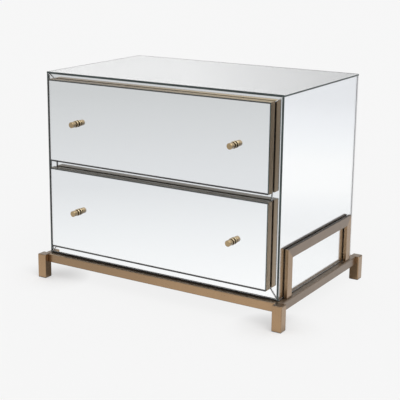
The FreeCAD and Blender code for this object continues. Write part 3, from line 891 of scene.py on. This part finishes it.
for part, axis in boxBoards.items():
    makeBoxBoard(part, axis)
low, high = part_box("upper_box_bottom")
gap = boxCut["panelGap"]
innerLow = Vector((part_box("upper_box_left")[1].x + gap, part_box("upper_box_front")[1].y + gap, low.z))
innerHigh = Vector((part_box("upper_box_right")[0].x - gap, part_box("upper_box_back")[0].y - gap, high.z))
panel = addBlock("upperBoxBottom", innerLow, innerHigh)
roundEdges(panel, boxCut["edge"])
paint(panel, plywood)
finishCopies(panel, "drawer_bottom", "upper_box_bottom", {"lowerBoxBottom": "lower_box_bottom"})
print("drawer boxes made")


# Drawer slides: rolled channels, with slots and screws at shares of their length

slideShape = {"wall": 1.2 * mm, "edge": 0.36 * mm, "slotLength": 26 * mm, "slotHeight": 8 * mm,
              "slotRound": 0.99, "slotSegments": 8, "screws": (0.1, 0.5, 0.9),
              "slots": {"outer": (0.08, 0.36, 0.64, 0.92), "middle": (0.07, 0.3, 0.7, 0.93),
                        "inner": (0.2, 0.6, 0.8)}}
slideScrew = {"headRadius": 3.6 * mm, "headHeight": 2.2 * mm, "shankRadius": 1.7 * mm, "shankLength": 9 * mm}


def channelOutline(low, high, webAtLow):
    wall = slideShape["wall"]
    web, lip = (low.x, high.x) if webAtLow else (high.x, low.x)
    inner = web + (wall if webAtLow else -wall)
    points = [(web, low.z), (lip, low.z), (lip, low.z + wall), (inner, low.z + wall), (inner, high.z - wall),
              (lip, high.z - wall), (lip, high.z), (web, high.z)]
    return [Vector((x, low.y, z)) for x, z in points]


def alongSlide(low, high, webAtLow, share):  # a point on the outside of the web, part of the way back
    return Vector((low.x if webAtLow else high.x, low.y + (high.y - low.y) * share, (low.z + high.z) / 2))


def addSlot(middle):  # a cutter with round ends
    half = Vector((2 * slideShape["wall"], slideShape["slotLength"] / 2, slideShape["slotHeight"] / 2))
    slot = addBlock("slot", middle - half, middle + half)
    bevelEdges(slot, lambda edge: abs(edge.verts[0].co.x - edge.verts[1].co.x) > half.x,
               half.z * slideShape["slotRound"], slideShape["slotSegments"])
    return slot


def makeSlideMember(side, sign, member):
    node = f"upper_{side}_slide_{member}"
    low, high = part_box(node)
    webAtLow = (sign < 0) == (member != "inner")  # the inner member's web lies on the drawer
    name = f"{side.capitalize()}Slide{member.capitalize()}"
    channel = addPlate(f"upper{name}", channelOutline(low, high, webAtLow), Vector((0, high.y - low.y, 0)))
    places = [alongSlide(low, high, webAtLow, share) for share in slideShape["slots"][member]]
    cutOut(channel, repeatPiece("slots", addSlot(places[0]), places))
    roundEdges(channel, slideShape["edge"])
    paint(channel, zinc)
    finishCopies(channel, "steel", node, {f"lower{name}": f"lower_{side}_slide_{member}"})


for side, sign in sides.items():
    for member in slideShape["slots"]:
        makeSlideMember(side, sign, member)
for side, sign in sides.items():
    low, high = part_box(f"upper_{side}_slide_inner")
    web = Vector((sign * slideShape["wall"], 0, 0))  # the heads lie on the open side of the web
    places = [alongSlide(low, high, sign > 0, share) + web for share in slideShape["screws"]]
    screws = makeScrews(f"upper{side.capitalize()}SlideScrews", places, (sign, 0, 0), slideScrew)
    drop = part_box(f"lower_{side}_slide_inner")[0] - low
    lowerScrews = copyPiece(screws, f"lower{side.capitalize()}SlideScrews", drop)
    for piece, drawer in ((screws, "upper"), (lowerScrews, "lower")):
        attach(piece, f"{drawer}_drawer")
print("slides made")


# Studio: pale floor, soft light, and what the mirrors see of it

studio = {"paper": 0.923, "floorSize": 90.0, "floorDrop": 0.6 * mm, "shadowShare": 0.075,
          "contactShare": 0.58, "contactReach": (0.02, 0.13), "skyLight": 0.78, "sunLight": 1.1,
          "sunAngle": 50, "sunFrom": (38, 0, 52)}
# The floor's tones run in two directions, with a shade under the case and a dark patch in front of it
floorSeen = {
    "front": {"towards": (-0.55, -0.83, 0.0), "reach": 4.0, "tones": (
        (0.0, (1.0, 1.0, 1.0)), (0.06, (1.0, 1.0, 1.0)), (0.13, (0.945, 0.95, 0.955)),
        (0.22, (0.875, 0.885, 0.895)), (0.36, (0.765, 0.775, 0.79)), (0.40, (0.76, 0.77, 0.785)),
        (0.61, (0.70, 0.71, 0.72)), (0.93, (0.625, 0.635, 0.64)))},
    "behind": {"towards": (0.42, 0.91, 0.0), "reach": 4.5, "tones": (
        (0.0, (1.0, 1.0, 1.0)), (0.05, (0.955, 0.96, 0.965)), (0.11, (0.95, 0.955, 0.96)),
        (0.18, (0.9, 0.907, 0.915)), (0.24, (0.93, 0.935, 0.945)), (0.31, (1.0, 1.0, 1.0)),
        (0.40, (1.0, 1.0, 1.0)), (0.49, (0.95, 0.96, 0.975)), (0.61, (0.895, 0.905, 0.93)),
        (0.77, (0.82, 0.83, 0.855)), (1.0, (0.81, 0.82, 0.845)))},
    "underCase": 0.22, "softEdge": 0.05,
    "patch": (1.43, -2.36, 0.0), "patchTone": 0.34, "patchReach": (0.4, 1.65)}
wallSeen = {
    "across": (0.839, 0.544, 0.0), "tones": (
        (-1.0, (0.6, 0.6, 0.6)), (-0.5, (0.66, 0.66, 0.66)), (-0.12, (0.965, 0.965, 0.965)),
        (0.02, (0.95, 0.95, 0.95)), (0.075, (0.85, 0.852, 0.855)), (0.18, (0.7, 0.702, 0.705)),
        (0.5, (0.66, 0.662, 0.67)), (1.0, (0.66, 0.662, 0.67))),
    "rise": (0.22, 0.5), "ceiling": (0.8, 0.803, 0.81), "softBox": (0.985, 0.983, 0.975), "lowest": 0.05,
    "boxMiddle": (-0.3, -0.45, 1.0), "boxReach": (0.35, 1.0), "flag": (0.545, 0.838, 0.0),
    "flagReach": (0.62, 0.88), "flagTop": (0.25, 0.5), "flagTone": 0.4}
paper = (studio["paper"],) * 3


def seenRays(tree):  # camera rays, and the rays that polished surfaces send out
    rays = addNode(tree, "ShaderNodeLightPath").outputs
    polished = combined(tree, "MAXIMUM", rays["Is Glossy Ray"], rays["Is Transmission Ray"])
    return rays["Is Camera Ray"], polished


def toneRamp(tree, value, low, high, stops):
    # Colours at their own places on a value that runs from low to high
    ramp = addNode(tree, "ShaderNodeValToRGB", {"Fac": mapped(tree, value, low, high)})
    elements = ramp.color_ramp.elements
    while len(elements) < len(stops):
        elements.new(0.5)  # anywhere, as it is placed below
    for element, (place, colour) in zip(elements, stops):
        element.position = place
    for element, (place, colour) in zip(elements, stops):
        element.color = (*colour, 1)
    return ramp.outputs["Color"]


def mixShaders(tree, share, first, second, outputKind):
    both = addNode(tree, "ShaderNodeMixShader", {0: share, 1: first.outputs[0], 2: second.outputs[0]})
    addNode(tree, outputKind, {"Surface": both.outputs[0]})


def onFloor(node):  # the middle of a node, brought down to the floor
    middle = middleOf(node)
    return Vector((middle.x, middle.y, 0))


def floorTone(tree, place):  # what polished surfaces see of the floor
    tones = []
    for fade in (floorSeen["front"], floorSeen["behind"]):
        along = vectorStep(tree, "DOT_PRODUCT", place, fade["towards"])
        tones.append(toneRamp(tree, along, 0.0, fade["reach"], fade["tones"]))
    low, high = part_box("top_mirror")
    half = Vector(((high.x - low.x) / 2, (high.y - low.y) / 2, 1))
    offset = vectorStep(tree, "ABSOLUTE", vectorStep(tree, "SUBTRACT", place, onFloor("top_mirror")))
    outside = vectorStep(tree, "MAXIMUM", vectorStep(tree, "SUBTRACT", offset, half), (0, 0, 0))
    shade = mapped(tree, vectorStep(tree, "LENGTH", outside), 0.0, floorSeen["softEdge"],
                   floorSeen["underCase"], 1.0)
    fromPatch = vectorStep(tree, "DISTANCE", place, floorSeen["patch"])
    patch = mapped(tree, fromPatch, *floorSeen["patchReach"], floorSeen["patchTone"], 1.0)
    shade = combined(tree, "MULTIPLY", shade, patch)
    return vectorStep(tree, "MULTIPLY", vectorStep(tree, "MULTIPLY", *tones), shade)


def makeFloor():
    deselectAll()
    bpy.ops.mesh.primitive_plane_add(size=studio["floorSize"], location=(0, 0, -studio["floorDrop"]))
    floor = namePiece("studioFloor")
    material = bpy.data.materials.new("studioPaper")
    material.use_nodes = True
    material.cycles.emission_sampling = "NONE"
    tree = material.node_tree
    tree.nodes.clear()
    camera, polished = seenRays(tree)
    place = addNode(tree, "ShaderNodeTexCoord").outputs["Object"]
    matte = addNode(tree, "ShaderNodeBsdfDiffuse", {"Color": paper})
    seen = blended(tree, polished, paper, floorTone(tree, place))
    glow = addNode(tree, "ShaderNodeEmission", {"Color": seen})
    lit = 1 - studio["shadowShare"]
    for leg in ("front_left_leg", "front_right_leg"):  # the shadow is deepest at the front feet
        fromFoot = vectorStep(tree, "DISTANCE", place, onFloor(leg))
        contact = mapped(tree, fromFoot, *studio["contactReach"], 1 - studio["contactShare"],
                         1 - studio["shadowShare"])
        lit = combined(tree, "MINIMUM", lit, contact)
    share = combined(tree, "MAXIMUM", combined(tree, "MULTIPLY", camera, lit), polished)
    mixShaders(tree, share, matte, glow, "ShaderNodeOutputMaterial")
    paint(floor, material)


def makeWorld():
    world = bpy.data.worlds.new("studio")
    bpy.context.scene.world = world
    world.use_nodes = True
    tree = world.node_tree
    tree.nodes.clear()
    camera, polished = seenRays(tree)
    place = addNode(tree, "ShaderNodeTexCoord").outputs["Generated"]
    level = vectorStep(tree, "NORMALIZE", vectorStep(tree, "MULTIPLY", place, (1, 1, 0)))
    sideways = vectorStep(tree, "DOT_PRODUCT", level, wallSeen["across"])
    stops = [((where + 1) / 2, colour) for where, colour in wallSeen["tones"]]
    wall = toneRamp(tree, sideways, -1.0, 1.0, stops)
    rise = vectorStep(tree, "DOT_PRODUCT", place, (0, 0, 1))
    overhead = vectorStep(tree, "DIVIDE", place, vectorStep(tree, "MAXIMUM", rise, (wallSeen["lowest"],) * 3))
    fromBox = vectorStep(tree, "DISTANCE", overhead, wallSeen["boxMiddle"])
    pastBox = mapped(tree, fromBox, *wallSeen["boxReach"])
    ceiling = blended(tree, pastBox, wallSeen["softBox"], wallSeen["ceiling"])
    room = blended(tree, mapped(tree, rise, *wallSeen["rise"]), wall, ceiling)
    # A dark flag stands behind on the right, which gives the sides of the metal their depth
    inFlag = mapped(tree, vectorStep(tree, "DOT_PRODUCT", level, wallSeen["flag"]), *wallSeen["flagReach"])
    inFlag = combined(tree, "MULTIPLY", inFlag, mapped(tree, rise, *wallSeen["flagTop"], 1.0, 0.0))
    room = blended(tree, inFlag, room, vectorStep(tree, "SCALE", room, wallSeen["flagTone"]))
    light = addNode(tree, "ShaderNodeBackground", {"Color": (1, 1, 1), "Strength": studio["skyLight"]})
    shown = addNode(tree, "ShaderNodeBackground", {"Color": blended(tree, camera, room, paper)})
    mixShaders(tree, combined(tree, "MAXIMUM", camera, polished), light, shown, "ShaderNodeOutputWorld")


def makeSun():
    deselectAll()
    bpy.ops.object.light_add(type="SUN", rotation=[math.radians(angle) for angle in studio["sunFrom"]])
    sun = bpy.context.object
    sun.name = "softKey"
    sun.data.energy = studio["sunLight"]
    sun.data.angle = math.radians(studio["sunAngle"])


makeFloor()
makeWorld()
makeSun()

cameraView = {"place": (1.43442, -2.35856, 0.96025), "azimuth": 32.972, "down": 13.683, "roll": 0.237,
              "sensor": 36, "lens": 93.26, "shift": (0.075, -0.055)}


def makeCamera():
    bpy.ops.object.camera_add(location=cameraView["place"])
    camera = bpy.context.object
    aim = Euler((math.radians(90 - cameraView["down"]), 0, math.radians(cameraView["azimuth"])))
    turned = aim.to_matrix() @ Matrix.Rotation(math.radians(cameraView["roll"]), 3, "Z")
    camera.rotation_euler = turned.to_euler()
    camera.data.sensor_width = cameraView["sensor"]
    camera.data.lens = cameraView["lens"]
    camera.data.shift_x, camera.data.shift_y = cameraView["shift"]
    bpy.context.scene.camera = camera


makeCamera()
bpy.context.scene.view_settings.view_transform = "Standard"
print("studio made")
